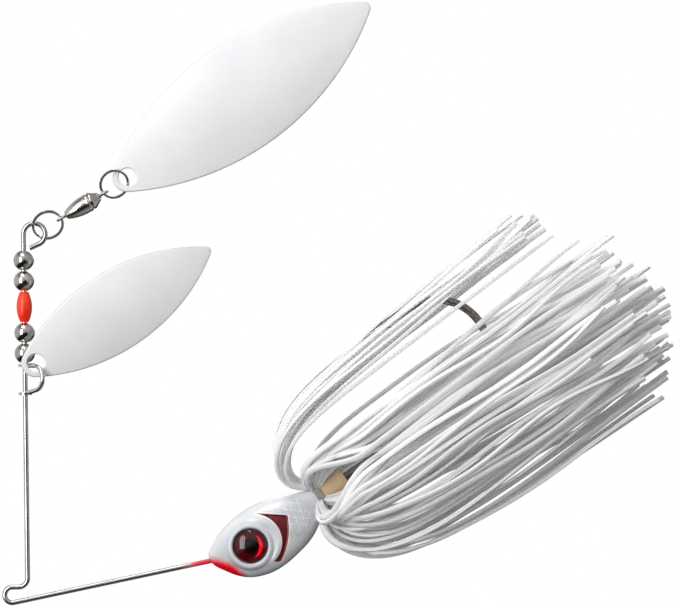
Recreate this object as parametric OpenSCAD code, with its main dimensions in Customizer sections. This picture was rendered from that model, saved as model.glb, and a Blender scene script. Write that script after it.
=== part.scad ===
// Tandem willow-leaf spinnerbait, hanging from its line tie.
// Sub-parts are drawn in the plane of the bent wire: u to the right, v up, w to the near side,
// with the origin at the centre of the line tie. hung() then turns them so that the lure hangs
// straight down: +Z is up, -Y is the near side, and the hook shank points down.

/* [Wire form] */
// Diameter of the spring wire
wire_d = 0.9; // [0.7:0.05:0.95]
// Centreline radius of the line tie
tie_r = 1.41; // [1.2:0.05:1.8]
// Straight run from the line tie to the elbow
tie_run = 1.1; // [0.8:0.1:2]
// Centreline radius of the elbow
elbow_r = 1.63; // [1.2:0.05:2.5]
// Lean of the blade arm away from square
arm_lean = 0.7; // [0:0.05:1]
// Length of the blade arm, elbow to end loop
arm_len = 62.2; // [61.8:0.1:64]
// Centreline radius of the end loop
loop_r = 1.98; // [1.8:0.02:2.2]
// How far the end loop turns before it comes back to the arm
loop_turn = 246.5; // [240:0.5:250]
// Rise of the head arm from level
head_arm_rise = 11.99; // [11.49:0.1:12.49]

/* [Head and hook] */
// Half thickness of the head
head_half = 4.4; // [4.2:0.05:4.8]
// Diameter of the eyes
eye_d = 6.15; // [5:0.05:6.4]
// Slope of the hook shank in the wire plane
shank_rise = 34.31; // [33.51:0.1:34.91]
// Diameter of the hook wire
hook_d = 1.5; // [1.2:0.05:1.6]
// Distance from the back of the head to the start of the bend
shank_len = 32.9; // [31:0.1:36]
// Centreline radius of the hook bend
hook_bend_r = 9.35; // [8.5:0.05:9.4]
// Length of the point leg
point_len = 10; // [8:0.1:11]
// Diameter of the lead collar that holds the skirt
collar_d = 3.4; // [3:0.1:3.6]

/* [Skirt] */
// Outer diameter of the rubber skirt tube at its rear end
tube_d = 6.2; // [5.6:0.1:6.4]
// Length of the rubber skirt tube
tube_len = 5; // [4:0.1:5.2]
// Length of the skirt behind the head
skirt_len = 70; // [62:1:72]
// Largest radius of the skirt
skirt_r = 21; // [20.5:0.1:23]

/* [Beads] */
// Diameter of the metal beads
bead_d = 3.7; // [3.4:0.05:3.7]
// Length of the oval bead
oval_len = 5.5; // [5:0.1:5.5]
// Diameter of the oval bead
oval_d = 2.8; // [2.4:0.1:3.2]

/* [Blades] */
// Thickness of the blade sheet
sheet = 0.5; // [0.4:0.05:0.55]
// Diameter of the hole in each blade
blade_hole_d = 3.2; // [3:0.1:3.4]
// Width of the small blade
small_w = 14.3; // [13:0.1:15]
// Radius of the small blade's long edges
small_edge_r = 36.8; // [35:0.1:38]
// Width of the big blade
big_w = 19.7; // [18:0.1:21]
// Radius of the big blade's long edges
big_edge_r = 50; // [48:0.1:52]

/* [Rings and swivel] */
// Wire diameter of the rings
ring_wire = 0.52; // [0.45:0.01:0.55]
// Centreline diameter of the ring on the wire loop
ring_a_d = 5.4; // [5.3:0.05:5.6]
// Centreline diameter of the ring on the big blade
ring_b_d = 5.1; // [5:0.05:5.3]
// Largest diameter of the swivel barrel
barrel_d = 3.2; // [3:0.05:3.4]
// Diameter of the bearing balls
ball_d = 0.6; // [0.5:0.02:0.6]

/* [Hidden] */
$fn = 64;

hang_angle = 34; // the direction in the wire plane that points down when the lure hangs
fit = 0.05; // radial clearance of a part that turns on another
cast = 0.02; // clearance between the casting and what it is cast round
slack = 0.01; // what a cut runs past a face

// wire form
function at(c, r, a) = c + r * [cos(a), sin(a)];
elbow_c = [tie_run, tie_r + elbow_r];
arm_foot = at(elbow_c, elbow_r, arm_lean);
return_len = 1.8;
head_arm_foot = at([0, 0], tie_r, head_arm_rise - 90);

// hook and head
shank_dir = [cos(shank_rise), sin(shank_rise)];
head_back = [54.9, 17.8];
hook_eye_back = 8.4;
hook_eye_r = 1.3;
hook_eye_wire = 1.1;
hook_eye = head_back - hook_eye_back * shank_dir;
hook_tip_len = 4.6;

// where the wire turns up inside the head to pass through the eye of the hook
function cross2(p, q) = p.x * q.y - p.y * q.x;
corner_r = 1.3;
corner_turn = 90 + shank_rise - head_arm_rise;
corner_cut = corner_r * tan(corner_turn / 2);
along_arm = [cos(head_arm_rise), sin(head_arm_rise)];
through_eye = [-shank_dir.y, shank_dir.x];
corner_at = cross2(hook_eye - head_arm_foot, through_eye) / cross2(along_arm, through_eye);
eye_reach = norm(hook_eye - head_arm_foot - corner_at * along_arm);
cast_end = 1.8;
eye_c = [43.2, 9.2];
eye_seat = head_half - 0.4;
foil_h = 0.2;
dome_h = 1;
collar_front = -3;
collar_len = 6.4;
band_x = [0.2, 1.2];
band_r = 2.9;
tube_front = band_x[0] + band_x[1];
tube_front_d = 5.1;

// blade arm, distances up from the elbow
bead_at = [57.5, 53.75, 44.4, 40.65];
oval_at = 49.08;
oval_end_r = 0.75;
bead_bore = wire_d + 2 * fit;
clevis_top = 38.45;
clevis_sweep = 167;
clevis_wire = 0.8;
clevis_bend_r = 2.2;
clevis_bend_x = 2.8;
clevis_turn = 45; // how far the clevis stands round from the wire plane to the near side
clevis_eye_d = 2.4;
clevis_eye_h = 0.5;

// blades
small_hole = [4.5, 42.05, 2.5];
small_rise = 32.8;
small_yaw = 13.5; // turns the tip to the far side, so that the blade's weight hangs under the arm
small_base_r = 2.6;
small_tip_r = 0.9;
small_cup_r = 26;
small_bow_r = 130;
big_hole = [20.8, 75.6, 0];
big_rise = 35.67;
big_yaw = 2;
big_base_r = 2.7;
big_tip_r = 1.1;
big_cup_r = 36;
big_bow_r = 230;

// rings and swivel, distances along the swivel from the tip of its lower eye
ring_a_c = [6.41, 66.95, 0];
ring_b_c = [18.42, 74.36, 0];
ring_a_turn = 28;
ring_b_turn = 42;
ring_a_tilt = 32;
ring_b_tilt = 27;
swivel_foot = [7.95, 67.62];
swivel_rise = 30.4;
swivel_eye_r = 0.72;
swivel_eye_wire = 0.46;
lower_eye_x = 1;
barrel_x = [1.96, 2.25, 5.5, 7.1];
cap_x = [6.15, 7.1, 7.4, 9];
upper_eye_x = 9.98;
barrel_bore = 2.5;
eye_stem = 1.4;
rotor_d = 0.9;
rotor_head = [4.9, 5.45];
rotor_head_d = 2.1;
ball_x = 5.8;
ball_ring_r = 0.8;
ball_count = 7;

// placing

module hung() {
    rotate([0, 90 + hang_angle, 0]) rotate([90, 0, 0]) children();
}

// x along the shank from the back of the head, y towards the point, z to the near side
module on_shank() {
    hung() translate([head_back.x, head_back.y, 0]) rotate([0, 0, shank_rise]) children();
}

// y up the blade arm from the elbow
module on_arm(up) {
    hung() translate([arm_foot.x, arm_foot.y, 0]) rotate([0, 0, arm_lean])
        translate([0, up, 0]) children();
}

// z along the swivel from the tip of its lower eye
module on_swivel() {
    hung() translate([swivel_foot.x, swivel_foot.y, 0]) rotate([0, 0, swivel_rise])
        rotate([0, 90, 0]) children();
}

// shapes

// A straight length of bar along X, whose children start at its far end
module run(length, d) {
    rotate([0, 90, 0]) cylinder(h = length, d = d);
    translate([length, 0, 0]) children();
}

// The bar bent to the left, or to the right where the angle is negative
module turn(r, angle, d) {
    roll = angle < 0 ? 180 : 0;
    rotate([roll, 0, 0]) translate([0, r, 0]) rotate([0, 0, -90]) {
        rotate_extrude(angle = abs(angle)) translate([r, 0]) circle(d = d);
        rotate([0, 0, abs(angle)]) translate([r, 0, 0]) rotate([0, 0, 90])
            rotate([roll, 0, 0]) children();
    }
}

module torus(r, d) {
    rotate_extrude() translate([r, 0]) circle(d = d);
}

// A tube along Z, cut by its own bore
module sleeve(h, front_d, rear_d, bore) {
    difference() {
        cylinder(h = h, d1 = front_d, d2 = rear_d);
        translate([0, 0, -slack]) cylinder(h = h + 2 * slack, d = bore);
    }
}

// wire form

// From the top of the line tie, round it and along to the eye of the hook
module head_arm(d) {
    translate([0, tie_r, 0]) rotate([0, 0, 180]) turn(tie_r, 180 + head_arm_rise, d)
        run(corner_at - corner_cut, d) turn(corner_r, corner_turn, d)
        run(eye_reach - corner_cut + cast_end, d);
}

module blade_arm(d) {
    translate([0, tie_r, 0]) run(tie_run, d) turn(elbow_r, 90 + arm_lean, d) run(arm_len, d)
        turn(loop_r, -loop_turn, d) run(return_len, d);
}

module wire_form() {
    color("silver") hung() {
        head_arm(wire_d);
        blade_arm(wire_d);
    }
}

// head

// Balls that the head's skin is drawn over: centre and radius
head_balls = [
    [[36.4, 6.5, 0], 0.8], [[43.6, 7.6, 0], head_half], [[44.9, 12.1, 0], head_half],
    [[48.1, 9.1, 0], head_half], [[51, 15.1, 0], 3.4], [[52.3, 13.2, 0], 3.2]
];

module head_skin() {
    hull() for (b = head_balls) translate(b[0]) sphere(r = b[1], $fn = 32);
}

module eye_place(side) {
    hung() translate([eye_c.x, eye_c.y, 0]) mirror([0, 0, side < 0 ? 1 : 0])
        translate([0, 0, eye_seat]) children();
}

module hook_core(d, eye_wire) {
    translate([-hook_eye_back, 0, 0]) rotate([90, 0, 0]) torus(hook_eye_r, eye_wire);
    translate([hook_eye_r - hook_eye_back, 0, 0])
        run(shank_len + hook_eye_back - hook_eye_r, d) children();
}

module head_casting() {
    color("whitesmoke") difference() {
        union() {
            hung() head_skin();
            on_shank() translate([collar_front, 0, 0]) run(collar_len - collar_front, collar_d);
        }
        hung() head_arm(wire_d + 2 * cast);
        on_shank() hook_core(hook_d + 2 * cast, hook_eye_wire + 2 * cast);
        for (side = [-1, 1]) eye_place(side) cylinder(h = 3, d = eye_d + 2 * cast);
    }
}

module eye_foil(side) {
    color("darkred") eye_place(side) cylinder(h = foil_h, d = eye_d);
}

module eye_dome(side) {
    cap_r = (pow(eye_d / 2, 2) + dome_h * dome_h) / (2 * dome_h);
    color("crimson", 0.5) eye_place(side) intersection() {
        translate([0, 0, foil_h + dome_h - cap_r]) sphere(r = cap_r);
        translate([0, 0, foil_h]) cylinder(h = 2 * dome_h, d = eye_d);
    }
}

module hook_point() {
    rotate([0, 90, 0]) cylinder(h = hook_tip_len, d1 = hook_d, d2 = 0.15);
    translate([0.6, 0.3, 0]) rotate([0, 0, 158]) rotate([0, 90, 0])
        cylinder(h = 2, d1 = 0.7, d2 = 0.1);
}

module hook() {
    color("dimgray") on_shank() hook_core(hook_d, hook_eye_wire) turn(hook_bend_r, 180, hook_d)
        run(point_len - hook_tip_len, hook_d) hook_point();
}

// skirt

module skirt_band() {
    color("dimgray") on_shank() translate([band_x[0], 0, 0]) rotate([0, 90, 0])
        sleeve(band_x[1], 2 * band_r, 2 * band_r, collar_d);
}

module skirt_tube() {
    color("burlywood") on_shank() translate([tube_front, 0, 0]) rotate([0, 90, 0])
        sleeve(tube_len, tube_front_d, tube_d, collar_d);
}

// The layer that leaves the band forwards, folds back and bells out past the hook.
// Its profile is distance behind the head, then radius.
skirt_outside = [
    [0.3, band_r], [-1.6, 7], [-2.2, 10], [-1.2, 13], [2.5, 16.6], [9.5, skirt_r - 1.9],
    [20, skirt_r - 1.2], [45, skirt_r - 0.3], [skirt_len, skirt_r]
];
skirt_inside = [
    [skirt_len, skirt_r - 1.8], [45, skirt_r - 2.1], [20, skirt_r - 3], [10.5, skirt_r - 3.7],
    [4.2, 15.2], [0.9, 12.4], [-0.2, 10], [0.2, 7], [1.3, band_r]
];
hook_slot = [17, 45]; // where the hook shows between the strands

module revolved(profile) {
    rotate([0, 90, 0]) rotate_extrude() polygon([for (p = profile) [p[1], p[0]]]);
}

module skirt_outer_strands() {
    slot_w = 3.6;
    color("white") on_shank() difference() {
        revolved(concat(skirt_outside, skirt_inside));
        translate([hook_slot[0], skirt_r / 2, -slot_w / 2])
            cube([hook_slot[1] - hook_slot[0], skirt_r, slot_w]);
    }
}

// The layer that runs back along the shank
module skirt_inner_strands() {
    color("gainsboro") on_shank() revolved([
        [tube_front, tube_front_d / 2 + cast], [tube_front, band_r], [8, 4.3], [30, 5.2],
        [30, 4], [tube_front + tube_len + 0.4, tube_d / 2 + 3 * cast]
    ]);
}

// blade arm

module bead(index) {
    color("silver") on_arm(bead_at[index]) difference() {
        sphere(d = bead_d);
        rotate([90, 0, 0]) cylinder(h = bead_d, d = bead_bore, center = true);
    }
}

module bead_orange() {
    half = oval_len / 2;
    drop = oval_d / 2 - oval_end_r;
    side_r = (half * half + drop * drop) / (2 * drop);
    color("orangered") on_arm(oval_at) rotate([90, 0, 0]) rotate_extrude() intersection() {
        translate([oval_d / 2 - side_r, 0]) circle(r = side_r, $fn = 128);
        translate([bead_bore / 2, -half]) square([oval_d, oval_len]);
    }
}

module clevis_eye(up) {
    translate([0, up + clevis_eye_h / 2, 0]) rotate([90, 0, 0])
        cylinder(h = clevis_eye_h, d = clevis_eye_d);
}

module clevis() {
    foot = [clevis_bend_x, -clevis_bend_r] + clevis_bend_r * [sin(clevis_sweep), cos(clevis_sweep)];
    back = foot.x / -cos(clevis_sweep);
    low = foot.y - back * sin(clevis_sweep);
    color("silver") on_arm(clevis_top) rotate([0, -clevis_turn, 0]) difference() {
        union() {
            run(clevis_bend_x, clevis_wire) turn(clevis_bend_r, -clevis_sweep, clevis_wire)
                run(back, clevis_wire);
            clevis_eye(0);
            clevis_eye(low);
        }
        translate([0, 1, 0]) rotate([90, 0, 0]) cylinder(h = 8, d = bead_bore);
    }
}

// blades

// Half the length of the leaf up to an end circle's centre, for edges of radius edge_r
function leaf_reach(half_w, edge_r, end_r) =
    sqrt(pow(edge_r - end_r, 2) - pow(edge_r - half_w, 2));

// A willow leaf with its base circle round the origin and its tip on +X
module leaf(w, edge_r, base_r, tip_r) {
    half = w / 2;
    base = leaf_reach(half, edge_r, base_r);
    tip = leaf_reach(half, edge_r, tip_r);
    base_cut = base * edge_r / (edge_r - base_r);
    tip_cut = tip * edge_r / (edge_r - tip_r);
    translate([base, 0]) {
        intersection() {
            translate([0, edge_r - half]) circle(r = edge_r, $fn = 180);
            translate([0, half - edge_r]) circle(r = edge_r, $fn = 180);
            translate([-base_cut, -half]) square([base_cut + tip_cut, w]);
        }
        translate([-base, 0]) circle(r = base_r);
        translate([tip, 0]) circle(r = tip_r);
    }
}

// A sheet curved both ways, crowned at the origin towards +Z
module dished_sheet(cup_r, bow_r, length, w) {
    turn = 2 * asin(w / (2 * cup_r)) + 8;
    translate([0, 0, -cup_r]) rotate([0, 90, 0]) rotate([0, 0, 180 - turn / 2])
        rotate_extrude(angle = turn) intersection() {
            translate([cup_r - bow_r, 0]) difference() {
                circle(r = bow_r, $fn = 360);
                circle(r = bow_r - sheet, $fn = 360);
            }
            translate([0, -length]) square([cup_r + 1, 2 * length]);
        }
}

module blade(w, edge_r, base_r, tip_r, cup_r, bow_r) {
    middle = leaf_reach(w / 2, edge_r, base_r);
    drop = bow_r - sqrt(bow_r * bow_r - middle * middle);
    difference() {
        intersection() {
            translate([0, 0, -5]) linear_extrude(10) leaf(w, edge_r, base_r, tip_r);
            translate([middle, 0, drop + sheet / 2]) dished_sheet(cup_r, bow_r, 1.2 * middle, w);
        }
        cylinder(h = 8, d = blade_hole_d, center = true);
    }
}

module small_blade() {
    color("white") hung() translate(small_hole) rotate([0, small_yaw, 0])
        rotate([0, 0, small_rise])
        blade(small_w, small_edge_r, small_base_r, small_tip_r, small_cup_r, small_bow_r);
}

module big_blade() {
    color("white") hung() translate(big_hole) rotate([0, 0, big_rise]) rotate([0, big_yaw, 0])
        blade(big_w, big_edge_r, big_base_r, big_tip_r, big_cup_r, big_bow_r);
}

// rings and swivel

module ring(c, facing, tilt, d) {
    color("silver") hung() translate(c) rotate([0, 0, facing]) rotate([tilt, 0, 0])
        torus(d / 2, ring_wire);
}

// A closed eye across the swivel, seen on edge from the near side
module swivel_eye(x) {
    translate([0, 0, x]) rotate([90, 0, 0]) torus(swivel_eye_r, swivel_eye_wire);
}

module swivel_barrel() {
    r = barrel_d / 2;
    pocket = rotor_head[0] - fit;
    color("silver") on_swivel() difference() {
        rotate_extrude() polygon([
            [0, barrel_x[0]], [0.5, barrel_x[0]], [0.75, barrel_x[1]], [r, barrel_x[2]],
            [r, barrel_x[3]], [0, barrel_x[3]]
        ]);
        translate([0, 0, pocket]) cylinder(h = barrel_x[3] - pocket + slack, d = barrel_bore);
        translate([0, 0, barrel_x[0] - slack]) cylinder(h = eye_stem, d = swivel_eye_wire);
    }
}

module swivel_lower_eye() {
    color("silver") on_swivel() {
        swivel_eye(lower_eye_x);
        translate([0, 0, lower_eye_x + swivel_eye_r]) cylinder(h = eye_stem, d = swivel_eye_wire);
    }
}

module swivel_cap() {
    r = barrel_d / 2;
    color("gray") on_swivel() difference() {
        rotate_extrude() polygon([
            [0, cap_x[0]], [barrel_bore / 2 - cast, cap_x[0]], [barrel_bore / 2 - cast, cap_x[1]],
            [r - 0.12, cap_x[1]], [r, cap_x[2]], [0.75, cap_x[3]], [0, cap_x[3]]
        ]);
        translate([0, 0, cap_x[0] - 1]) cylinder(h = 5, d = rotor_d + 2 * fit);
    }
}

module bearing_balls() {
    color("lightgray") on_swivel() for (i = [0 : ball_count - 1])
        rotate([0, 0, i * 360 / ball_count]) translate([ball_ring_r, 0, ball_x])
            sphere(d = ball_d, $fn = 32);
}

module swivel_rotor() {
    color("silver") on_swivel() {
        translate([0, 0, rotor_head[0]])
            cylinder(h = rotor_head[1] - rotor_head[0], d = rotor_head_d);
        translate([0, 0, rotor_head[0]])
            cylinder(h = upper_eye_x - swivel_eye_r - rotor_head[0], d = rotor_d);
        swivel_eye(upper_eye_x);
    }
}

wire_form();
head_casting();
hook();
eye_foil(1);  // eye_foil_left
eye_foil(-1);  // eye_foil_right
eye_dome(1);  // eye_dome_left
eye_dome(-1);  // eye_dome_right
skirt_band();
skirt_tube();
skirt_outer_strands();
skirt_inner_strands();
bead(0);  // bead_1
bead(1);  // bead_2
bead_orange();
bead(2);  // bead_3
bead(3);  // bead_4
clevis();
small_blade();
ring(ring_a_c, ring_a_turn, ring_a_tilt, ring_a_d);  // ring_a
swivel_barrel();
swivel_lower_eye();
swivel_cap();
bearing_balls();
swivel_rotor();
ring(ring_b_c, ring_b_turn, ring_b_tilt, ring_b_d);  // ring_b
big_blade();
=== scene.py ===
# Looks of a tandem-blade spinnerbait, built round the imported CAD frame
import bpy
import numpy as np
from mathutils import Matrix


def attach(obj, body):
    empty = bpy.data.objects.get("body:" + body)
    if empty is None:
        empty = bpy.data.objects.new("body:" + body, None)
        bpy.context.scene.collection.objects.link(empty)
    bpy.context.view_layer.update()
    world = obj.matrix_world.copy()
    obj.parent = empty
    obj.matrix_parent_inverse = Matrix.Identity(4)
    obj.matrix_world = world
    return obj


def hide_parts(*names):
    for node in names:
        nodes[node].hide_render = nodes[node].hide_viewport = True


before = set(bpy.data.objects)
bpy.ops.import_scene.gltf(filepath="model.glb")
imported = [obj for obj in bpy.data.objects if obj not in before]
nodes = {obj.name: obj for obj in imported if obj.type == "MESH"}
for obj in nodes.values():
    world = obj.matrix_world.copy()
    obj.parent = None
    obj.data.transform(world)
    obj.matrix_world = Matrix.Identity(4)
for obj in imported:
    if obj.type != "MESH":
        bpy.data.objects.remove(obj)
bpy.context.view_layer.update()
print("frame loaded:", len(nodes), "CAD nodes")

rng = np.random.default_rng(7)

# The wire lies in one plane: u and v in it, w towards the near side, in millimetres
hangAngle = np.radians(34)
hangSin, hangCos = np.sin(hangAngle), np.cos(hangAngle)
shank = {"back": (54.9, 17.8), "rise": np.radians(34.31)}
nose = (35.6, 6.15)
eyeCentre = (43.2, 9.2)


def placed(u, v, w):
    # wire plane in mm to the row frame in metres: the plane turned by the hang angle
    u, v, w = np.broadcast_arrays(u, v, w)
    return np.stack([hangCos * v - hangSin * u, -w, -hangCos * u - hangSin * v], -1) / 1000


def onShank(along, out, side):
    # along the shank from the back of the head, out towards the hook point, side to the near side
    c, s = np.cos(shank["rise"]), np.sin(shank["rise"])
    return placed(shank["back"][0] + c * along - s * out,
                  shank["back"][1] + s * along + c * out, side)


def ease(x, low, high):
    # 0 below low, 1 above high, and smooth between
    t = np.clip((x - low) / (high - low), 0, 1)
    return t * t * (3 - 2 * t)


def through(x, knots):
    # smooth curve through the knots: cubic pieces, each knot's slope the mean of the two beside it
    kx, ky = np.array(knots, float).T
    step = np.diff(kx)
    rise = np.diff(ky) / step
    slope = np.concatenate([[rise[0]], (rise[1:] + rise[:-1]) / 2, [rise[-1]]])
    i = np.clip(np.searchsorted(kx, x) - 1, 0, len(kx) - 2)
    t = (x - kx[i]) / step[i]
    return ((2 * t**3 - 3 * t**2 + 1) * ky[i] + (t**3 - 2 * t**2 + t) * step[i] * slope[i]
            + (3 * t**2 - 2 * t**3) * ky[i + 1] + (t**3 - t**2) * step[i] * slope[i + 1])


def surface(name, points, wrapRows=False, wrapColumns=True):
    # a grid, or a stack of grids, of points joined into quads; open row ends get a flat face each.
    # The faces are turned outwards by the sign of the volume that they enclose
    points = points if points.ndim == 4 else points[None]
    count, rows, columns = points.shape[:3]
    index = np.arange(count * rows * columns).reshape(count, rows, columns)
    a = index if wrapRows else index[:, :-1]
    b = np.roll(index, -1, 1) if wrapRows else index[:, 1:]
    if wrapColumns:
        quads = np.stack([a, b, np.roll(b, -1, 2), np.roll(a, -1, 2)], -1).reshape(-1, 4)
    else:
        quads = np.stack([a[..., :-1], b[..., :-1], b[..., 1:], a[..., 1:]], -1).reshape(-1, 4)
    flat = points.reshape(-1, 3) - points.reshape(-1, 3).mean(0)
    p = flat[quads]
    flip = np.sum(p[:, 0] * np.cross(p[:, 1] - p[:, 0], p[:, 2] - p[:, 0])
                  + p[:, 0] * np.cross(p[:, 2] - p[:, 0], p[:, 3] - p[:, 0])) < 0
    corners, sizes = [quads[:, ::-1] if flip else quads], [np.full(len(quads), 4)]
    if wrapColumns and not wrapRows:
        for cap in (index[:, 0, ::-1], index[:, -1]):
            corners.append(cap[:, ::-1] if flip else cap)
            sizes.append(np.full(count, columns))
    loops = np.concatenate([c.ravel() for c in corners]).astype(np.int32)
    totals = np.concatenate(sizes).astype(np.int32)
    mesh = bpy.data.meshes.new(name)
    mesh.vertices.add(points[..., 0].size)
    mesh.vertices.foreach_set("co", points.reshape(-1).astype(np.float32))
    mesh.loops.add(len(loops))
    mesh.loops.foreach_set("vertex_index", loops)
    mesh.polygons.add(len(totals))
    mesh.polygons.foreach_set("loop_start", np.cumsum(totals) - totals)
    mesh.update(calc_edges=True)
    mesh.validate()
    mesh.shade_smooth()
    mesh.set_sharp_from_angle(angle=np.radians(38))
    piece = bpy.data.objects.new(name, mesh)
    bpy.context.scene.collection.objects.link(piece)
    return piece


def mark(piece, name, values):
    # a value at each point, for the material to read
    held = piece.data.attributes.new(name, "FLOAT", "POINT")
    held.data.foreach_set("value", np.ascontiguousarray(values, np.float32).ravel())


def finishPiece(piece, body, slot, material, *replaced):
    piece.data.materials.append(material)
    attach(piece, body)
    if replaced:
        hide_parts(*replaced)
    return piece


def put(tree, kind, values=None, **settings):
    # adds a node; a value may be a number, a colour or another node's output
    node = tree.nodes.new("ShaderNode" + kind)
    for key, value in settings.items():
        setattr(node, key, value)
    for key, value in (values or {}).items():
        if isinstance(value, bpy.types.NodeSocket):
            tree.links.new(value, node.inputs[key])
        else:
            node.inputs[key].default_value = value
    return node


def math(tree, operation, *values, clamp=False):
    return put(tree, "Math", dict(enumerate(values)), operation=operation,
               use_clamp=clamp).outputs[0]


def blend(tree, factor, a, b):
    node = put(tree, "Mix", {0: factor, 6: a, 7: b}, data_type="RGBA")
    return node.outputs[2]


def fade(tree, value, low, high, out=(0, 1)):
    node = put(tree, "MapRange", {"Value": value, "From Min": low, "From Max": high,
                                  "To Min": out[0], "To Max": out[1]},
               interpolation_type="SMOOTHSTEP")
    return node.outputs[0]


def group(name, inputs, outputs):
    tree = bpy.data.node_groups.new(name, "ShaderNodeTree")
    for label, kind, value in inputs:
        socket = tree.interface.new_socket(label, in_out="INPUT", socket_type="NodeSocket" + kind)
        if value is not None:
            socket.default_value = value
    for label, kind in outputs:
        tree.interface.new_socket(label, in_out="OUTPUT", socket_type="NodeSocket" + kind)
    return tree, tree.nodes.new("NodeGroupInput").outputs, tree.nodes.new("NodeGroupOutput").inputs


def place(tree, shared, values):
    node = tree.nodes.new("ShaderNodeGroup")
    node.node_tree = shared
    for key, value in values.items():
        if isinstance(value, bpy.types.NodeSocket):
            tree.links.new(value, node.inputs[key])
        else:
            node.inputs[key].default_value = value
    return node.outputs


def material(name, **constants):
    # a Principled material with its plain values set on its own sockets
    m = bpy.data.materials.new(name)
    m.use_nodes = True
    shader = m.node_tree.nodes["Principled BSDF"]
    for key, value in constants.items():
        shader.inputs[key.replace("_", " ")].default_value = value
    return m, m.node_tree, shader.inputs


def objectPoint(tree):
    return put(tree, "TexCoord").outputs["Object"]


def flatPoint(tree, point):
    # the point pressed flat onto the wire's plane
    return put(tree, "VectorMath", {0: point, 1: (1, 0, 1)}, operation="MULTIPLY").outputs[0]


def distanceFrom(tree, flat, u, v):
    # distance in the wire's plane, in millimetres
    d = put(tree, "VectorMath", {0: flat, 1: tuple(placed(u, v, 0))}, operation="DISTANCE")
    return math(tree, "MULTIPLY", d.outputs["Value"], 1000.0)


def bump(tree, shaderInputs, height, depth):
    node = put(tree, "Bump", {"Height": height, "Distance": depth, "Strength": 1.0})
    tree.links.new(node.outputs[0], shaderInputs["Normal"])


def handlingGroup():
    # fine handling marks: cloudy roughness and hair scratches, Size in marks per metre
    tree, get, give = group("handlingMarks",
        [("Vector", "Vector", None), ("Size", "Float", 600.0),
         ("Smooth", "Float", 0.1), ("Worn", "Float", 0.3)],
        [("Roughness", "Float"), ("Height", "Float"), ("Mask", "Float")])
    cloud = put(tree, "TexNoise", {"Vector": get["Vector"], "Scale": get["Size"], "Detail": 1.0})
    stretched = put(tree, "Mapping", {"Vector": get["Vector"], "Rotation": (0.4, 0.9, 0.2),
                                      "Scale": (1, 1, 14)})
    hair = put(tree, "TexNoise", {"Vector": stretched.outputs[0], "Scale": get["Size"],
                                  "Detail": 2.0})
    mask = fade(tree, cloud.outputs[0], 0.42, 0.68)
    scratch = fade(tree, hair.outputs[0], 0.6, 0.72)
    worn = math(tree, "MAXIMUM", mask, scratch)
    span = math(tree, "SUBTRACT", get["Worn"], get["Smooth"])
    tree.links.new(math(tree, "MULTIPLY_ADD", worn, span, get["Smooth"]), give["Roughness"])
    tree.links.new(hair.outputs[0], give["Height"])
    tree.links.new(mask, give["Mask"])
    return tree


def sprayedCoatGroup():
    # sprayed paint: a slow tint and the small dimples of the dried coat
    tree, get, give = group("sprayedCoat",
        [("Vector", "Vector", None), ("Size", "Float", 900.0),
         ("Light", "Color", None), ("Shade", "Color", None)],
        [("Color", "Color"), ("Height", "Float")])
    slow = put(tree, "TexNoise", {"Vector": get["Vector"], "Scale": 90.0, "Detail": 2.0})
    peel = put(tree, "TexVoronoi", {"Vector": get["Vector"], "Scale": get["Size"]},
               feature="SMOOTH_F1")
    tree.links.new(blend(tree, fade(tree, slow.outputs[0], 0.35, 0.7), get["Light"],
                         get["Shade"]), give["Color"])
    tree.links.new(peel.outputs[0], give["Height"])
    return tree


handling = handlingGroup()
sprayed = sprayedCoatGroup()


def metal(name, colour, dark, smooth, worn, size=500.0, depth=1.5e-6):
    # plated metal: bright colour with a darker bloom where it is handled
    m, tree, to = material(name, Metallic=1.0)
    marks = place(tree, handling, {"Vector": objectPoint(tree), "Size": size,
                                   "Smooth": smooth, "Worn": worn})
    tree.links.new(blend(tree, marks["Mask"], (*colour, 1), (*dark, 1)), to["Base Color"])
    tree.links.new(marks["Roughness"], to["Roughness"])
    bump(tree, to, marks["Height"], depth)
    return m


def springWireFinish():
    # drawn stainless wire, sprayed red where it meets the nose
    m, tree, to = material("springWire")
    point = objectPoint(tree)
    marks = place(tree, handling, {"Vector": point, "Size": 420.0, "Smooth": 0.12, "Worn": 0.24})
    away = put(tree, "VectorMath", {0: point, 1: tuple(placed(*nose, 0))},
               operation="DISTANCE").outputs["Value"]
    ragged = math(tree, "MULTIPLY_ADD", marks["Height"], 0.0016, away)
    paint = fade(tree, ragged, 0.0062, 0.0025)
    steel = blend(tree, marks["Mask"], (0.56, 0.54, 0.52, 1), (0.46, 0.445, 0.43, 1))
    tree.links.new(blend(tree, paint, steel, (0.78, 0.03, 0.06, 1)), to["Base Color"])
    tree.links.new(math(tree, "SUBTRACT", 1.0, paint), to["Metallic"])
    tree.links.new(marks["Roughness"], to["Roughness"])
    bump(tree, to, marks["Height"], 2e-6)
    return m


def bladePaintFinish():
    # white powder coat, with painted shade: greyer over the rolled edge
    m, tree, to = material("bladePaint", Roughness=0.34, Coat_Weight=0.25, Coat_Roughness=0.2)
    coat = place(tree, sprayed, {"Vector": objectPoint(tree), "Size": 2600.0,
                                 "Light": (0.90, 0.90, 0.915, 1), "Shade": (0.86, 0.86, 0.88, 1)})
    rim = put(tree, "Attribute", attribute_name="rim").outputs["Fac"]
    # painted shade: the rolled edge's share greys the coat, standing in for the edge's own shading
    tree.links.new(blend(tree, fade(tree, rim, 0.35, 1.0), coat["Color"],
                         (0.52, 0.52, 0.54, 1)), to["Base Color"])
    bump(tree, to, coat["Height"], 8e-6)
    return m


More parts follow.
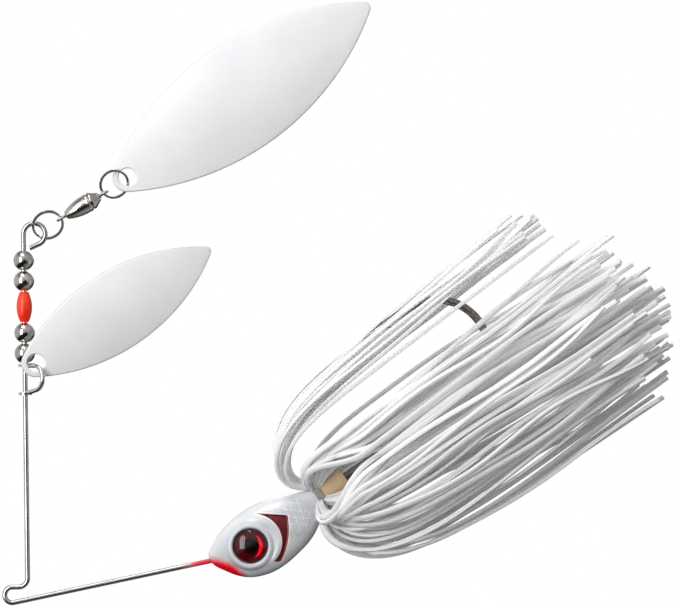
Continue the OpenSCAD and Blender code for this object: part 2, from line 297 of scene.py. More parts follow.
def orangeBeadFinish():
    # orange plastic with slow cloudy changes of tint under a thin gloss
    m, tree, to = material("orangeBead", Roughness=0.35, Subsurface_Weight=0.2,
                           Subsurface_Scale=0.0006, Coat_Weight=0.12, Coat_Roughness=0.05)
    point = objectPoint(tree)
    coat = place(tree, sprayed, {"Vector": point, "Size": 1800.0,
                                 "Light": (1.0, 0.06, 0.002, 1), "Shade": (1.0, 0.02, 0.0, 1)})
    tree.links.new(coat["Color"], to["Base Color"])
    bump(tree, to, coat["Height"], 5e-6)
    return m


gill = {  # the painted gill slot: outside one circle, inside another, under a line, above a level
    "inner": (43.95, 9.95, 5.05), "outer": (38.1, 12.2, 11.93),
    "topLeft": (44.27, 14.98), "topSlope": -0.066, "foot": 6.4,
    "depth": 0.28, "wall": (-0.1, 0.16), "round": 0.45,
    "border": (-0.42, -0.26), "paint": (-0.14, -0.06),
    "cover": {"rise": 0.16, "inset": 0.5, "width": 0.45, "from": (44.5, 47)},
}
mouth = {"centre": (36.6, -0.3), "radius": 7.25, "soft": 0.85, "ragged": 0.7}
scaleNet = {"middle": (51.3, 14.3), "reach": (4.6, 3.0), "spacing": 1.25, "line": (0.13, 0.02),
            "directions": ((0.94, 0.34), (0.10, 0.995))}


def headPaintFinish():
    # pearl lacquer: red mouth, maroon gill slot with a pale border, scale net behind it
    m, tree, to = material("paintedLead", Coat_Weight=0.5, Coat_Roughness=0.08)
    point = objectPoint(tree)
    flat = flatPoint(tree, point)

    def apart(u, v):
        return distanceFrom(tree, flat, u, v)

    def across(u, v, du, dv):  # signed distance past a line through u, v, in millimetres
        way = placed(du, dv, 0) * 1000
        d = put(tree, "VectorMath", {0: flat, 1: tuple(way)}, operation="DOT_PRODUCT")
        start = float(np.dot(placed(u, v, 0), way))
        return math(tree, "MULTIPLY", math(tree, "SUBTRACT", d.outputs["Value"], start), 1000.0)

    coat = place(tree, sprayed, {"Vector": point, "Size": 1400.0,
                                 "Light": (0.80, 0.81, 0.83, 1), "Shade": (0.62, 0.64, 0.67, 1)})
    flakes = put(tree, "TexVoronoi", {"Vector": point, "Scale": 5200.0})
    glint = fade(tree, put(tree, "SeparateColor",
                           {0: flakes.outputs["Color"]}).outputs[0], 0.55, 1.0)
    pearl = blend(tree, math(tree, "MULTIPLY", glint, 0.12), coat["Color"], (0.95, 0.96, 0.98, 1))

    # scale net: two crossing sets of fine raised lines on the rear upper side
    net = None
    for du, dv in scaleNet["directions"]:
        run = math(tree, "PINGPONG", across(*scaleNet["middle"], du, dv), scaleNet["spacing"] / 2)
        line = fade(tree, run, *scaleNet["line"])
        net = line if net is None else math(tree, "MAXIMUM", net, line)
    patch = fade(tree, apart(*scaleNet["middle"]), *scaleNet["reach"])
    breakUp = put(tree, "TexNoise", {"Vector": point, "Scale": 700.0}).outputs[0]
    net = math(tree, "MULTIPLY", math(tree, "MULTIPLY", net, patch), fade(tree, breakUp, 0.35, 0.6))
    base = blend(tree, math(tree, "MULTIPLY", patch, 0.4), pearl, (0.56, 0.58, 0.61, 1))
    base = blend(tree, net, base, (0.93, 0.94, 0.96, 1))

    # mouth: soft spray inside a circle round the chin
    ragged = put(tree, "TexNoise", {"Vector": point, "Scale": 900.0}).outputs[0]
    edge = math(tree, "MULTIPLY_ADD", ragged, mouth["ragged"], apart(*mouth["centre"]))
    spray = fade(tree, edge, mouth["radius"] + mouth["soft"], mouth["radius"] - mouth["soft"])
    base = blend(tree, spray, base, (0.95, 0.0, 0.018, 1))

    # gill slot: the smallest of four signed distances, positive inside
    u0, v0 = gill["topLeft"]
    inside = math(tree, "SUBTRACT", apart(*gill["inner"][:2]), gill["inner"][2])
    for edge in (math(tree, "SUBTRACT", gill["outer"][2], apart(*gill["outer"][:2])),
                 across(u0, v0, gill["topSlope"], -1), across(u0, v0, 1, 0),
                 across(48, gill["foot"], 0, 1)):
        inside = put(tree, "Math", {0: inside, 1: edge, 2: gill["round"]},
                     operation="SMOOTH_MIN").outputs[0]
    base = blend(tree, fade(tree, inside, *gill["border"]), base, (0.95, 0.84, 0.85, 1))
    base = blend(tree, fade(tree, inside, *gill["paint"]), base, (0.135, 0.0, 0.003, 1))
    tree.links.new(base, to["Base Color"])
    tree.links.new(math(tree, "MULTIPLY", patch, 0.2), to["Metallic"])
    tree.links.new(fade(tree, glint, 0, 1, (0.36, 0.22)), to["Roughness"])
    bump(tree, to, math(tree, "ADD", math(tree, "MULTIPLY", net, 1.5), coat["Height"]), 14e-6)
    return m


def eyeFoilFinish():
    # round pupil, a painted highlight of red light refracted through the dome as a crescent on its
    # rear side, and a dark maroon rim; the foil glows in its own colour as painted light
    m, tree, to = material("eyeFoil", Metallic=0.3, Roughness=0.3, Emission_Strength=0.9)
    point = objectPoint(tree)
    flat = flatPoint(tree, point)

    def apart(u, v):
        return distanceFrom(tree, flat, u, v)

    u, v = eyeCentre
    r = apart(u, v)
    # painted highlight: a red crescent where light refracted by the dome would fall
    paintedCrescentHighlight = math(tree, "MULTIPLY", fade(tree, r, 2.2, 2.0),
                    fade(tree, apart(u - 1.56, v + 0.1), 2.95, 3.2))
    foil = put(tree, "TexNoise", {"Vector": point, "Scale": 3500.0, "Detail": 3.0}).outputs[0]
    iris = blend(tree, foil, (0.045, 0.001, 0.002, 1), (0.075, 0.002, 0.004, 1))
    iris = blend(tree, paintedCrescentHighlight, iris, (0.70, 0.003, 0.016, 1))
    iris = blend(tree, fade(tree, apart(u + 0.05, v), 1.6, 1.1), iris, (0.002, 0.002, 0.003, 1))
    iris = blend(tree, fade(tree, r, 2.75, 2.95), iris, (0.012, 0.001, 0.002, 1))
    tree.links.new(iris, to["Base Color"])
    # painted light: the foil glows in its own colour, standing in for light reaching it through the
    # dome
    tree.links.new(iris, to["Emission Color"])
    bump(tree, to, foil, 6e-6)
    return m


def eyeDomeFinish():
    # clear resin drop, its roughness varied by faint polishing marks
    m, tree, to = material("eyeDome", Transmission_Weight=1.0, IOR=1.49,
                           Base_Color=(0.97, 0.93, 0.93, 1))
    marks = place(tree, handling, {"Vector": objectPoint(tree), "Size": 1200.0,
                                   "Smooth": 0.01, "Worn": 0.05})
    tree.links.new(marks["Roughness"], to["Roughness"])
    return m


def strandFinish():
    # translucent silicone, each strand its own tone, with faint lines from the knife along it
    m, tree, to = material("skirtSilicone", Subsurface_Weight=0.35, Subsurface_Scale=0.0007,
                           Subsurface_Radius=(1.0, 0.95, 0.9), Coat_Weight=0.15,
                           Coat_Roughness=0.25)
    tone = put(tree, "Attribute", attribute_name="tone").outputs["Fac"]
    across = put(tree, "Attribute", attribute_name="across").outputs["Fac"]
    along = put(tree, "Attribute", attribute_name="along").outputs["Fac"]
    where = put(tree, "CombineXYZ", {0: math(tree, "MULTIPLY", across, 26.0),
                                     1: math(tree, "MULTIPLY", along, 60.0),
                                     2: math(tree, "MULTIPLY", tone, 40.0)}).outputs[0]
    lines = put(tree, "TexNoise", {"Vector": where, "Scale": 1.0, "Detail": 2.0}).outputs[0]
    colour = blend(tree, tone, (0.83, 0.83, 0.84, 1), (0.96, 0.96, 0.965, 1))
    colour = blend(tree, math(tree, "MULTIPLY", fade(tree, lines, 0.45, 0.75), 0.25), colour,
                   (0.74, 0.73, 0.73, 1))
    tree.links.new(colour, to["Base Color"])
    tree.links.new(fade(tree, lines, 0.3, 0.7, (0.32, 0.5)), to["Roughness"])
    bump(tree, to, lines, 8e-6)
    return m


def rubberFinish(name, light, dark, rough):
    m, tree, to = material(name, Roughness=rough, Subsurface_Weight=0.1, Subsurface_Scale=0.0006)
    point = objectPoint(tree)
    cloud = put(tree, "TexNoise", {"Vector": point, "Scale": 700.0, "Detail": 5.0}).outputs[0]
    tree.links.new(blend(tree, fade(tree, cloud, 0.3, 0.75), (*light, 1), (*dark, 1)),
                   to["Base Color"])
    bump(tree, to, cloud, 1.2e-5)
    return m


finishes = {
    "spring_wire": springWireFinish(),
    "painted_lead": headPaintFinish(),
    "hook_steel": metal("hookSteel", (0.30, 0.265, 0.235), (0.20, 0.175, 0.155), 0.2, 0.4, 1300.0),
    "band": rubberFinish("bandRubber", (0.36, 0.32, 0.28), (0.26, 0.23, 0.20), 0.6),
    "tube_rubber": rubberFinish("tubeRubber", (0.69, 0.52, 0.31), (0.60, 0.44, 0.26), 0.55),
    "skirt_silicone": strandFinish(),
    "orange_bead": orangeBeadFinish(),
    "nickel": metal("brightNickel", (0.74, 0.72, 0.69), (0.60, 0.58, 0.55), 0.08, 0.24),
    "swivel_nickel": metal("swivelNickel", (0.66, 0.63, 0.58), (0.50, 0.47, 0.43), 0.14, 0.32),
    "black_nickel": metal("blackNickel", (0.50, 0.475, 0.44), (0.40, 0.38, 0.35), 0.14, 0.28),
    "bead_nickel": metal("beadNickel", (0.62, 0.60, 0.57), (0.48, 0.46, 0.43), 0.05, 0.2),
    "blade_paint": bladePaintFinish(),
    "eye_foil": eyeFoilFinish(),
    "eye_dome": eyeDomeFinish(),
}
for name, node in nodes.items():
    for held in node.material_slots:
        base = held.material.name.split(".")[0]
        if base in finishes:
            held.material = finishes[base]
        else:
            print("no finish for", name, held.material.name)
print("finishes placed on the CAD nodes")


headShape = {  # distances in mm from the nose along the head's own axis, and out from it
    "axis": (0.854, 0.520), "length": 22.9,
    "top": [(0, 0.0), (0.5, 1.0), (1.6, 1.9), (3.2, 2.85), (5.3, 3.7), (8.6, 4.35), (12.6, 4.4),
            (16.1, 3.7), (20.0, 2.3), (22.9, 1.35)],
    "bottom": [(0, 0.0), (0.5, -1.35), (1.4, -2.75), (3.0, -4.85), (5.0, -6.45), (8.3, -7.6),
               (11.1, -7.75), (14.3, -7.25), (17.9, -6.2), (20.6, -4.6), (22.9, -2.6)],
    "half": [(0, 0.0), (0.5, 1.0), (1.6, 1.95), (3.4, 3.1), (6.0, 4.15), (9.0, 4.5), (13.0, 4.45),
             (17.0, 3.7), (20.5, 2.6), (22.9, 1.95)],
    "square": 2.7, "rows": 300, "columns": 260, "tip": 0.012, "sides": (0.8, 1.8),
    "socket": (3.12, 3.30), "socketFloor": 3.97, "rimTop": 4.62, "rimCrest": 3.55,
    "rimEnd": (3.95, 4.75), "socketSides": (1.2, 2.6),
}


def headPiece():
    # sections along the axis, each a squared oval between the top and bottom lines:
    # out = middle + half height * cos^(2/k), side = half width * sin^(2/k)
    h = headShape
    t = np.linspace(0, 1, h["rows"])[:, None]
    along = h["length"] * (h["tip"] + (1 - h["tip"]) * t**1.5 * (1.5 - 0.5 * t))
    along = np.clip(along, 0, h["length"])
    turn = np.linspace(0, 2 * np.pi, h["columns"], endpoint=False)[None, :]
    power = 2 / h["square"]
    c, s = np.cos(turn), np.sin(turn)
    top, bottom, half = (through(along, h[k]) for k in ("top", "bottom", "half"))
    out = (top + bottom) / 2 + (top - bottom) / 2 * np.sign(c) * np.abs(c) ** power
    side = half * np.sign(s) * np.abs(s) ** power
    ex, ey = h["axis"]
    u = nose[0] + ex * along - ey * out
    v = nose[1] + ey * along + ex * out
    # eye socket: flat floor, then a rounded rim that melts into the skin
    r = np.hypot(u - eyeCentre[0], v - eyeCentre[1])
    flank = np.abs(side)
    rim = h["rimTop"] - (np.clip(r, 3.2, 5) - h["rimCrest"]) ** 2
    level = h["socketFloor"] + (rim - h["socketFloor"]) * ease(r, *h["socket"])
    near = (1 - ease(r, *h["rimEnd"])) * ease(flank, *h["socketSides"])
    flank = flank + (level - flank) * near
    # gill slot: pressed in where all four of its edge distances are positive
    cu, cv, cr = gill["inner"]
    ou, ov, orad = gill["outer"]
    tu, tv = gill["topLeft"]
    inside = np.minimum.reduce([
        np.hypot(u - cu, v - cv) - cr, orad - np.hypot(u - ou, v - ov),
        tv + gill["topSlope"] * (u - tu) - v, u - tu, v - gill["foot"]])
    flank = flank - gill["depth"] * ease(inside, *gill["wall"]) * ease(flank, *h["sides"])
    # gill cover: a low swelling in front of the slot
    cover = gill["cover"]
    past = np.hypot(u - cu, v - cv) - cr + cover["inset"]
    flank = flank + cover["rise"] * np.exp(-(past / cover["width"]) ** 2) * ease(
        u, *cover["from"]) * ease(flank, *h["sides"])
    return surface("headPaintedLead", placed(u, v, np.sign(side) * flank))


finishPiece(headPiece(), "wire_and_head", "painted_lead", finishes["painted_lead"],
            "head_casting")
print("head made")


blades = {
    "small": {"hole": (4.5, 42.05, 2.5), "rise": 32.8, "yaw": 13.5, "yawFirst": True,
              "width": 14.3, "edge": 36.8, "base": 2.6, "tip": 0.9, "cup": 26.0, "bow": 130.0},
    "big": {"hole": (20.8, 75.6, 0.0), "rise": 35.67, "yaw": 2.0, "yawFirst": False,
            "width": 19.7, "edge": 50.0, "base": 2.7, "tip": 1.1, "cup": 36.0, "bow": 230.0},
}
bladeSheet = {"thick": 0.5, "holeR": 1.6, "around": 280, "across": 26, "rim": 7, "crowd": 1.4,
              "turnedHole": 0.6}


def leafOutline(b, count):
    # a point at each direction of the edge's normal: arc centre + arc radius * direction,
    # over four arcs that meet smoothly, spaced evenly along the edge
    half = b["width"] / 2
    drop = b["edge"] - half
    base = np.sqrt((b["edge"] - b["base"]) ** 2 - drop**2)
    tip = np.sqrt((b["edge"] - b["tip"]) ** 2 - drop**2)
    way = np.linspace(-np.pi, np.pi, 20001)[:-1]
    a = np.abs(way)
    onTip, onBase = a < np.arctan2(drop, tip), a > np.arctan2(drop, -base)
    side = ~onTip & ~onBase
    radius = np.where(onTip, b["tip"], np.where(onBase, b["base"], b["edge"]))
    run = np.cumsum(radius ** np.where(side, 1.0, 0.75))
    pick = np.searchsorted(run, np.linspace(0, run[-1], count, endpoint=False))
    way, radius = way[pick], radius[pick]
    x = np.where(onTip[pick], base + tip, np.where(onBase[pick], 0.0, base))
    y = np.where(side[pick], -np.sign(way) * drop, 0.0)
    normal = np.stack([np.cos(way), np.sin(way)], -1)
    return np.stack([x, y], -1) + radius[:, None] * normal, normal, base


def dish(b, x, y, middle, inset):
    # height of a sheet bowed along its length (bow) and cupped across it (cup), inset below its top
    rest = b["cup"] - b["bow"]
    spine = rest + np.sqrt((b["bow"] - inset) ** 2 - (x - middle) ** 2)
    start = b["bow"] - np.sqrt(b["bow"] ** 2 - middle**2)
    return start + bladeSheet["thick"] / 2 - b["cup"] + np.sqrt(spine**2 - y**2)


def bladePiece(name, b):
    # loops from the hole's rim out over the top, round the rolled edge, back under and up the hole
    sheet, half = bladeSheet, bladeSheet["thick"] / 2
    edge, normal, middle = leafOutline(b, sheet["around"])
    ray = edge / np.linalg.norm(edge, axis=-1, keepdims=True)
    lip, inner = (sheet["holeR"] + half) * ray, edge - half * normal
    share = np.linspace(0, 1, sheet["across"])[:, None, None] ** sheet["crowd"]
    face = lip + (inner - lip) * share
    roll = np.linspace(np.pi / 2, -np.pi / 2, sheet["rim"] + 2)[1:-1, None, None]
    flat = np.concatenate([face, inner + half * np.cos(roll) * normal,
                           face[::-1], lip - half * np.cos(roll) * ray])
    ones = np.ones(sheet["across"])
    up = np.concatenate([ones, np.sin(roll.ravel()), -ones, -np.sin(roll.ravel())])[:, None]
    rim = np.concatenate([0 * ones, np.cos(roll.ravel()), 0 * ones,
                          sheet["turnedHole"] * np.cos(roll.ravel())])
    x, y = flat[..., 0], flat[..., 1]
    z = dish(b, x, y, middle, half) + half * up
    c, s = np.cos(np.radians(b["yaw"])), np.sin(np.radians(b["yaw"]))
    cr, sr = np.cos(np.radians(b["rise"])), np.sin(np.radians(b["rise"]))
    if b["yawFirst"]:
        x, y = cr * x - sr * y, sr * x + cr * y
        x, z = c * x + s * z, c * z - s * x
    else:
        x, z = c * x + s * z, c * z - s * x
        x, y = cr * x - sr * y, sr * x + cr * y
    u, v, w = b["hole"]
    piece = surface(name, placed(u + x, v + y, w + z), wrapRows=True)
    # the rolled edge's share, which the blade paint turns grey as painted shade
    mark(piece, "rim", np.broadcast_to(rim[:, None], x.shape))
    return piece


for size, body in (("small", "small_blade"), ("big", "big_blade")):
    finishPiece(bladePiece(size + "WillowBlade", blades[size]), body, "blade_paint",
                finishes["blade_paint"], body)
print("blades made")


arm = {"foot": (2.7299, 3.0599), "lean": np.radians(0.7)}
beads = {"radius": 1.85, "bore": 0.5, "lip": 0.13,
         "at": {"bead_1": 57.5, "bead_2": 53.75, "bead_3": 44.4, "bead_4": 40.65},
         "oval": {"at": 49.08, "half": 2.75, "radius": 1.4, "end": 0.75, "lip": 0.07,
                  "side": 0.985}}


def onArm(radius, turn, up):
    # round the blade arm: up it from the elbow, and a radius at a turn out from it
    c, s = np.cos(arm["lean"]), np.sin(arm["lean"])
    x, w = radius * np.cos(turn), radius * np.sin(turn)
    return placed(arm["foot"][0] + c * x - s * up, arm["foot"][1] + s * x + c * up, w)


def turnedOnArm(name, radius, up, at):
    # a closed profile spun round the arm
    turn = np.linspace(0, 2 * np.pi, 72, endpoint=False)[None, :]
    return surface(name, onArm(radius[:, None], turn, at + up[:, None]), wrapRows=True)


def beadProfile():
    # a ball cut by its bore, with a small lip where the drill broke through
    r, bore, lip = beads["radius"], beads["bore"], beads["lip"]
    start = np.arcsin((bore + lip) / r)
    a = np.linspace(start, np.pi - start, 44)
    foot = r * np.cos(start)
    inner = np.linspace(-foot + lip, foot - lip, 6)
    return (np.concatenate([r * np.sin(a), [bore + lip / 3], np.full(6, bore), [bore + lip / 3]]),
            np.concatenate([r * np.cos(a), [-foot + lip / 4], inner, [foot - lip / 4]]))


def ovalProfile():
    # side arc through both ends and the widest middle, then the flat ends and the bore
    o = beads["oval"]
    drop = o["radius"] - o["end"]
    arc = (o["half"] ** 2 + drop**2) / (2 * drop)
    up = o["half"] * np.sin(np.linspace(np.pi / 2, -np.pi / 2, 40)) * o["side"]
    out = o["radius"] - arc + np.sqrt(arc**2 - up**2)
    inner = np.linspace(-o["half"], o["half"], 6)
    flat = o["end"] - o["lip"]
    return (np.concatenate([out, [flat], np.full(6, beads["bore"]), [flat]]),
            np.concatenate([up, [-o["half"]], inner, [o["half"]]]))


for body, at in beads["at"].items():
    finishPiece(turnedOnArm(body.replace("bead_", "steelBead"), *beadProfile(), at), body,
                "bead_nickel", finishes["bead_nickel"], body)
finishPiece(turnedOnArm("orangeOvalBead", *ovalProfile(), beads["oval"]["at"]), "bead_orange",
            "orange_bead", finishes["orange_bead"], "bead_orange")
print("beads made")


rings = {
    "ring_a": {"centre": (6.41, 66.95), "facing": 28, "tilt": 32, "radius": 2.70, "start": 200},
    "ring_b": {"centre": (18.42, 74.36), "facing": 42, "tilt": 27, "radius": 2.55, "start": 310},
}
ringWire = {"wide": 0.44, "thick": 0.235, "apart": 0.252, "corner": 0.55, "steps": 260,
            "gap": 0.12, "step": (-0.45, 0.33)}


def splitRing(name, ring):
    # a flat wire wound twice round a circle: it steps up from the first turn to the second
    a = np.linspace(0, 4 * np.pi - ringWire["gap"], ringWire["steps"])[:, None]
    start, end = ringWire["step"]
    lift = ringWire["apart"] * (ease(a, 2 * np.pi + start, 2 * np.pi + end) - 0.5)
    k = ringWire["corner"]
    sideways = np.array([1, 1, k, 0, -k, -1, -1, -1, -k, 0, k, 1]) * ringWire["wide"] / 2
    upwards = np.array([0, k, 1, 1, 1, k, 0, -k, -1, -1, -1, -k]) * ringWire["thick"] / 2
    way = a + np.radians(ring["start"])
    x = (ring["radius"] + sideways) * np.cos(way)
    y = (ring["radius"] + sideways) * np.sin(way)
    z = lift + upwards + 0 * way
    f, t = np.radians(ring["facing"]), np.radians(ring["tilt"])
    u = np.cos(f) * x - np.sin(f) * np.cos(t) * y + np.sin(f) * np.sin(t) * z
    v = np.sin(f) * x + np.cos(f) * np.cos(t) * y - np.cos(f) * np.sin(t) * z
    w = np.sin(t) * y + np.cos(t) * z
    return surface(name, placed(ring["centre"][0] + u, ring["centre"][1] + v, w))


for name, body in (("lowerSplitRing", "ring_a"), ("upperSplitRing", "ring_b")):
    finishPiece(splitRing(name, rings[body]), body, "nickel", finishes["nickel"], body)

swivel = {"foot": (7.95, 67.62), "rise": np.radians(30.4),
          "barrel": [(1.96, 0.46), (2.06, 0.66), (2.5, 0.92), (3.4, 1.25), (4.5, 1.52), (5.5, 1.64),
                     (6.3, 1.65), (6.86, 1.64), (6.90, 1.56), (6.97, 1.56), (7.0, 1.64),
                     (7.09, 1.6)],
          "cap": [(7.12, 1.50), (7.18, 1.58), (7.45, 1.62), (7.7, 1.52), (8.2, 1.2), (8.7, 0.9),
                  (8.92, 0.8), (9.0, 0.66)]}


def swivelPart(name, profile, rows):
    # a turned part: its profile spun round the swivel's own axis
    knots = np.array(profile)
    place = np.linspace(0, len(knots) - 1, rows)
    along = np.interp(place, np.arange(len(knots)), knots[:, 0])[:, None]
    radius = through(along, profile)
    turn = np.linspace(0, 2 * np.pi, 64, endpoint=False)[None, :]
    c, s = np.cos(swivel["rise"]), np.sin(swivel["rise"])
    across, w = radius * np.cos(turn), radius * np.sin(turn)
    return surface(name, placed(swivel["foot"][0] + c * along - s * across,
                                swivel["foot"][1] + s * along + c * across, w))


finishPiece(swivelPart("swivelTurnedBarrel", swivel["barrel"], 60), "swivel", "swivel_nickel",
            finishes["swivel_nickel"], "swivel_barrel")
finishPiece(swivelPart("swivelTurnedCap", swivel["cap"], 36), "swivel", "black_nickel",
            finishes["black_nickel"], "swivel_cap")
print("rings and swivel made")


strand = {
    "width": 0.84, "thick": 0.62, "corner": 0.72, "steps": 60, "sides": 8,
    "root": (2.05, 2.75), "foldedRoot": 0.35, "straightRoot": 1.25, "bend": (3.0, 22.0),
    "parting": (87.0, 30.0), "share": 0.25, "closes": (0.04, 0.27),
    "dome": (73.0, 0.027), "uneven": (2.2, 8.0), "unevenWidth": 0.07,
    "drift": 0.12, "curl": 0.035, "curlCycles": (0.9, 1.9), "wave": 0.6, "waveCycles": 1.1,
    "twist": (0.35, 0.7),
}
hookSpace = {  # where strands part to either side of the hook, along the shank and out from it
    "clear": 1.5, "opens": (10, 18), "closes": (46, 56), "low": (-3.5, -1.5), "high": (20.5, 22),
}
strandGroups = {
    # turn: degrees round the shank from the hook point's side; reach: radius of the bell;
    # start: degrees from straight back at which it leaves the band; spread: its last slope;
    # length: mm before the ends are trimmed; loose: how far it strays from its neighbours
    "overPoint": {"count": 20, "turn": (-38, 38), "reach": (15.5, 19.6), "start": (132, 152),
                  "spread": (2.0, 6.5), "length": (73, 79), "loose": 0.6},
    "upperSide": {"count": 10, "turn": (52, 84), "reach": (9.0, 16.5), "start": (75, 118),
                  "spread": (-1.0, 3.0), "length": (71, 77), "loose": 1.0},
    "upperFar": {"count": 7, "turn": (-84, -52), "reach": (9.0, 16.5), "start": (75, 118),
                 "spread": (-1.0, 3.0), "length": (71, 77), "loose": 1.0},
    "bell": {"count": 48, "turn": (84, 276), "reach": (14.5, 21.5), "start": (90, 140),
             "spread": (-3.0, 0.5), "length": (72, 80), "loose": 1.0},
    "stray": {"count": 5, "turn": (4, 60), "reach": (3.5, 9.0), "start": (38, 70),
              "spread": (2, 9), "length": (66, 74), "loose": 1.6},
    "cover": {"count": 14, "turn": (84, 150), "reach": (4.5, 9.0), "start": (40, 66),
              "spread": (-1.0, 6.0), "length": (66, 74), "loose": 1.2},
    "heart": {"count": 44, "turn": (62, 298), "reach": (4.0, 13.0), "start": (26, 62),
              "spread": (-1.0, 5.0), "length": (66, 74), "loose": 1.0},
}


def strandLines(g):
    # each strand's slope falls from its start to its spread as exp(-(s / bend)^1.3), and the line
    # is the running sum of that slope, so a strand is neither stretched nor squeezed
    n = g["count"]

    def between(key):
        low, high = g[key]
        return (low + (high - low) * rng.random(n))[:, None]

    low, high = g["turn"]
    turn = np.radians(low + (high - low) * (np.arange(n) + rng.uniform(0.1, 0.9, n)) / n)[:, None]
    reach = between("reach")
    start, spread = np.radians(between("start")), np.radians(between("spread"))
    length, loose = between("length"), g["loose"]
    # at the band they part on the near side, where the tube shows, and close over it further back
    parting, half = np.radians(strand["parting"])
    off = turn - parting
    pushed = parting + np.sign(off) * (half + strand["share"] * np.abs(off))
    turn = np.where(np.abs(off) < half, pushed, turn)
    step = np.linspace(0, 1, strand["steps"])[None, :]
    swing = np.where(np.abs(off) < half, off + parting - turn, 0)
    swing = swing * ease(step, *strand["closes"])

    def line(bend, length):
        s, ds = length * step, length / (strand["steps"] - 1)
        slope = spread + (start - spread) * np.exp(-((s / bend) ** 1.3))
        mid = (slope[:, 1:] + slope[:, :-1]) / 2
        zero = np.zeros((n, 1))
        return (np.concatenate([zero, np.cumsum(np.cos(mid) * ds, 1)], 1),
                np.concatenate([zero, np.cumsum(np.sin(mid) * ds, 1)], 1))

    rootR = rng.uniform(*strand["root"], n)[:, None]
    trial = 10.0
    belled = line(trial, length)[1][:, strand["steps"] * 2 // 5][:, None]
    bend = np.clip(trial * (reach - rootR) / np.maximum(belled, 1), *strand["bend"])
    back, out = line(bend, length)
    # the ends are trimmed to a shallow dome: each stops a fixed way behind the head, less a share
    # of its own radius squared, less an uneven cut
    dome = strand["dome"][0] - strand["dome"][1] * (rootR + out[:, -1:]) ** 2
    short, shortest = strand["uneven"]
    length = length - back[:, -1:] + dome - rng.exponential(short, n)[:, None].clip(0, shortest)
    back, out = line(bend, length)
    s = length * step
    rootX = np.where(start > np.pi / 2, strand["foldedRoot"], strand["straightRoot"])
    rootX = rootX + rng.uniform(-0.15, 0.15, (n, 1))
    drift = swing + rng.normal(0, strand["drift"] * loose, n)[:, None] * step**1.4
    for cycles in strand["curlCycles"]:
        drift = drift + rng.normal(0, strand["curl"] * loose, n)[:, None] * step * np.sin(
            2 * np.pi * cycles * step + rng.uniform(0, 6.28, n)[:, None])
    wave = rng.normal(0, strand["wave"] * loose, n)[:, None] * step * np.sin(
        2 * np.pi * strand["waveCycles"] * step + rng.uniform(0, 6.28, n)[:, None])
    radius = np.maximum(rootR + out + wave, 0.0)
    x = rootX + back
    # behind the head the strands stay outside the tube
    radius = np.maximum(radius, np.where(x < 8, 3.1, 1.6) * ease(s, 0.3, 3))
    y, w = radius * np.cos(turn + drift), radius * np.sin(turn + drift)
    # beside the hook they part to either side of its plane
    close = (ease(x, *hookSpace["opens"]) * (1 - ease(x, *hookSpace["closes"]))
             * ease(y, *hookSpace["low"]) * (1 - ease(y, *hookSpace["high"])))
    gap = hookSpace["clear"] * close
    sign = np.where(w[:, -1:] >= 0, 1.0, -1.0)
    w = np.where(np.abs(w) < gap, sign * (0.55 * np.abs(w) + 0.45 * gap + 0.2 * close), w)
    return np.stack([x, y, w], -1), turn + drift, s / length


def ribbons(name, groups):
    # a rounded rectangle carried along every line: wide across, thin outwards, with a slow twist
    lines, turns, alongs = zip(*(strandLines(strandGroups[g]) for g in groups))
    path, turn, along = np.concatenate(lines), np.concatenate(turns), np.concatenate(alongs)
    n = len(path)
    way = np.gradient(path, axis=1)
    way /= np.linalg.norm(way, axis=-1, keepdims=True)
    acrossWay = np.stack([np.zeros_like(turn), -np.sin(turn), np.cos(turn)], -1)
    acrossWay -= way * np.sum(acrossWay * way, -1, keepdims=True)
    acrossWay /= np.linalg.norm(acrossWay, axis=-1, keepdims=True)
    outWay = np.cross(way, acrossWay)
    first, later = strand["twist"]
    twist = rng.normal(0, first, n)[:, None] + rng.normal(0, later, n)[:, None] * along
    c, s = np.cos(twist)[..., None], np.sin(twist)[..., None]
    acrossWay, outWay = c * acrossWay + s * outWay, c * outWay - s * acrossWay
    k = strand["corner"]
    cornerX = np.array([1, 1, k, -k, -1, -1, -k, k]) * strand["width"] / 2
    cornerY = np.array([-k, k, 1, 1, k, -k, -1, -1]) * strand["thick"] / 2
    size = rng.normal(1, strand["unevenWidth"], n)[:, None, None, None]
    ring = (path[:, :, None] + size * (cornerX[:, None] * acrossWay[:, :, None]
                                       + cornerY[:, None] * outWay[:, :, None]))
    piece = surface(name, onShank(ring[..., 0], ring[..., 1], ring[..., 2]))
    shape = ring.shape[:3]
    mark(piece, "tone", np.broadcast_to(rng.uniform(0.25, 1, n)[:, None, None], shape))
    mark(piece, "along", np.broadcast_to(along[..., None], shape))
    mark(piece, "across", np.broadcast_to(np.linspace(0, 1, strand["sides"]), shape))
    return piece


for name, layer, replaced in (
        ("skirtOuterStrands", ["overPoint", "upperSide", "upperFar", "bell", "stray"],
         "skirt_outer_strands"),
        ("skirtInnerStrands", ["heart", "cover"], "skirt_inner_strands")):
    finishPiece(ribbons(name, layer), "wire_and_head", "skirt_silicone",
                finishes["skirt_silicone"], replaced)
print("skirt strands made")


view = {"aim": (0.0107, 0.0, -0.0786), "distance": 0.512, "lens": 150.0}
right = np.array([-hangSin, 0, -hangCos])
up = np.array([hangCos, 0, -hangSin])
back = np.array([0, -1.0, 0])


def turned(x, y, z, at):
    # a 4 by 4 place whose axes are the three directions
    matrix = np.eye(4)
    matrix[:3, 0], matrix[:3, 1], matrix[:3, 2], matrix[:3, 3] = x, y, z, at
    return matrix.tolist()


def addCamera():
    camera = bpy.data.cameras.new("camera")
    camera.lens, camera.sensor_width = view["lens"], 36
    camera.clip_start, camera.clip_end = 0.01, 20
    holder = bpy.data.objects.new("camera", camera)
    bpy.context.scene.collection.objects.link(holder)
    at = np.array(view["aim"]) + back * view["distance"]
    holder.matrix_world = Matrix(turned(right, up, back, at))
    bpy.context.scene.camera = holder


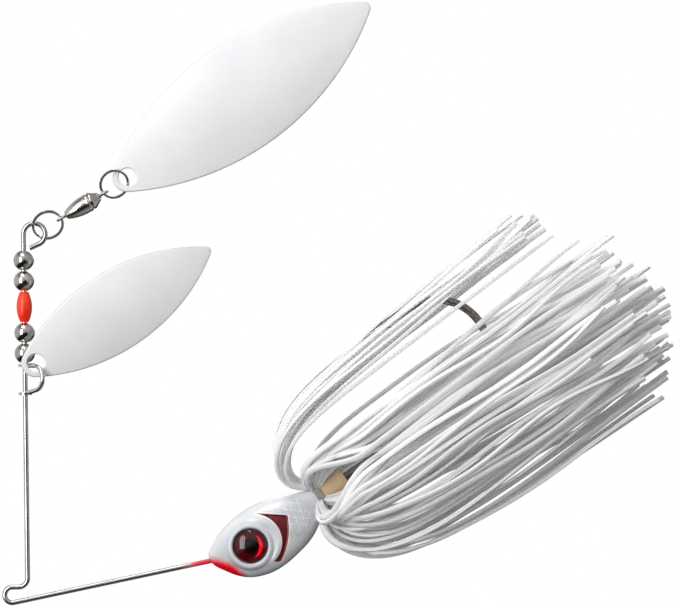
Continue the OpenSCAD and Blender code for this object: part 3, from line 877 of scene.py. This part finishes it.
def addSoftbox(name, toRight, toUp, toFront, size, watts, colour=(1, 1, 1)):
    # a rectangular light that faces the lure, placed in metres along the camera's own directions
    light = bpy.data.lights.new(name, "AREA")
    light.shape, light.size, light.size_y = "RECTANGLE", size[0], size[1]
    light.energy, light.color = watts, colour
    holder = bpy.data.objects.new(name, light)
    bpy.context.scene.collection.objects.link(holder)
    away = toRight * right + toUp * up + toFront * back
    z = away / np.linalg.norm(away)
    x = np.cross(up, z)
    x /= np.linalg.norm(x)
    holder.matrix_world = Matrix(turned(x, np.cross(z, x), z, np.array(view["aim"]) + away))


addCamera()
addSoftbox("windowSoftbox", -0.36, 0.075, 0.49, (0.22, 0.56), 2.3)
addSoftbox("topSoftbox", -0.15, 0.62, 0.25, (0.45, 0.30), 1.7)
addSoftbox("backSoftbox", 0.15, 0.30, -0.62, (0.6, 0.5), 1.2)


mirroredRoom = {  # brightness of what the metal mirrors, from the lower right to the upper left
    "bands": [(0.0, 0.30), (0.14, 0.22), (0.20, 0.012), (0.43, 0.02), (0.50, 0.42), (0.60, 0.72),
              (0.86, 0.80), (0.93, 0.25), (1.0, 0.2)],
    "strength": 0.85, "lean": (0.75, -0.45),
}


def addWorld():
    # white behind the object; the chrome mirrors light above, grey round the sides, dark bands
    world = bpy.data.worlds.new("world")
    world.use_nodes = True
    bpy.context.scene.world = world
    tree = world.node_tree
    out = tree.nodes["World Output"]
    seen = tree.nodes["Background"]
    seen.inputs[0].default_value = (1, 1, 1, 1)
    seen.inputs[1].default_value = 1.0
    way = put(tree, "TexCoord").outputs["Generated"]
    lean = put(tree, "VectorMath", {0: way, 1: tuple(
        mirroredRoom["lean"][0] * up + mirroredRoom["lean"][1] * right)},
               operation="DOT_PRODUCT").outputs["Value"]
    ramp = put(tree, "ValToRGB", {0: math(tree, "MULTIPLY_ADD", lean, 0.5, 0.5)})
    while len(ramp.color_ramp.elements) < len(mirroredRoom["bands"]):
        ramp.color_ramp.elements.new(0.5)
    for element, (at, level) in zip(ramp.color_ramp.elements, mirroredRoom["bands"]):
        element.position, element.color = at, (level, level, level * 1.01, 1)
    mirrored = put(tree, "Background", {0: ramp.outputs[0], 1: mirroredRoom["strength"]})
    path = put(tree, "LightPath")
    mixed = put(tree, "MixShader", {0: path.outputs["Is Camera Ray"], 1: mirrored.outputs[0],
                                    2: seen.outputs[0]})
    tree.links.new(mixed.outputs[0], out.inputs[0])


addWorld()


floorDisc = {"level": -0.26, "radius": 0.405, "bevel": 0.004, "middle": 0.01}


def addFloor():
    # a plain pale disc well below the lure: radius times cosine and sine of the turn
    ring = np.linspace(0, 2 * np.pi, 96, endpoint=False)[None, :]
    f = floorDisc
    radius = np.array([[0.002], [0.2], [f["radius"] - 0.005], [f["radius"]]])
    level = f["level"] - f["bevel"] * np.array([[0.0], [0.0], [0.0], [1.0]])
    points = np.stack([radius * np.cos(ring) + f["middle"], radius * np.sin(ring),
                       level + 0 * ring], -1)
    floor = surface("floorDisc", points)
    m, tree, to = material("paleFloor", Roughness=0.7)
    cloud = put(tree, "TexNoise", {"Vector": objectPoint(tree), "Scale": 9.0, "Detail": 3.0})
    tree.links.new(blend(tree, cloud.outputs[0], (0.83, 0.83, 0.84, 1), (0.80, 0.80, 0.81, 1)),
                   to["Base Color"])
    floor.data.materials.append(m)


addFloor()
bpy.context.scene.view_settings.view_transform = "Standard"
print("stage set")
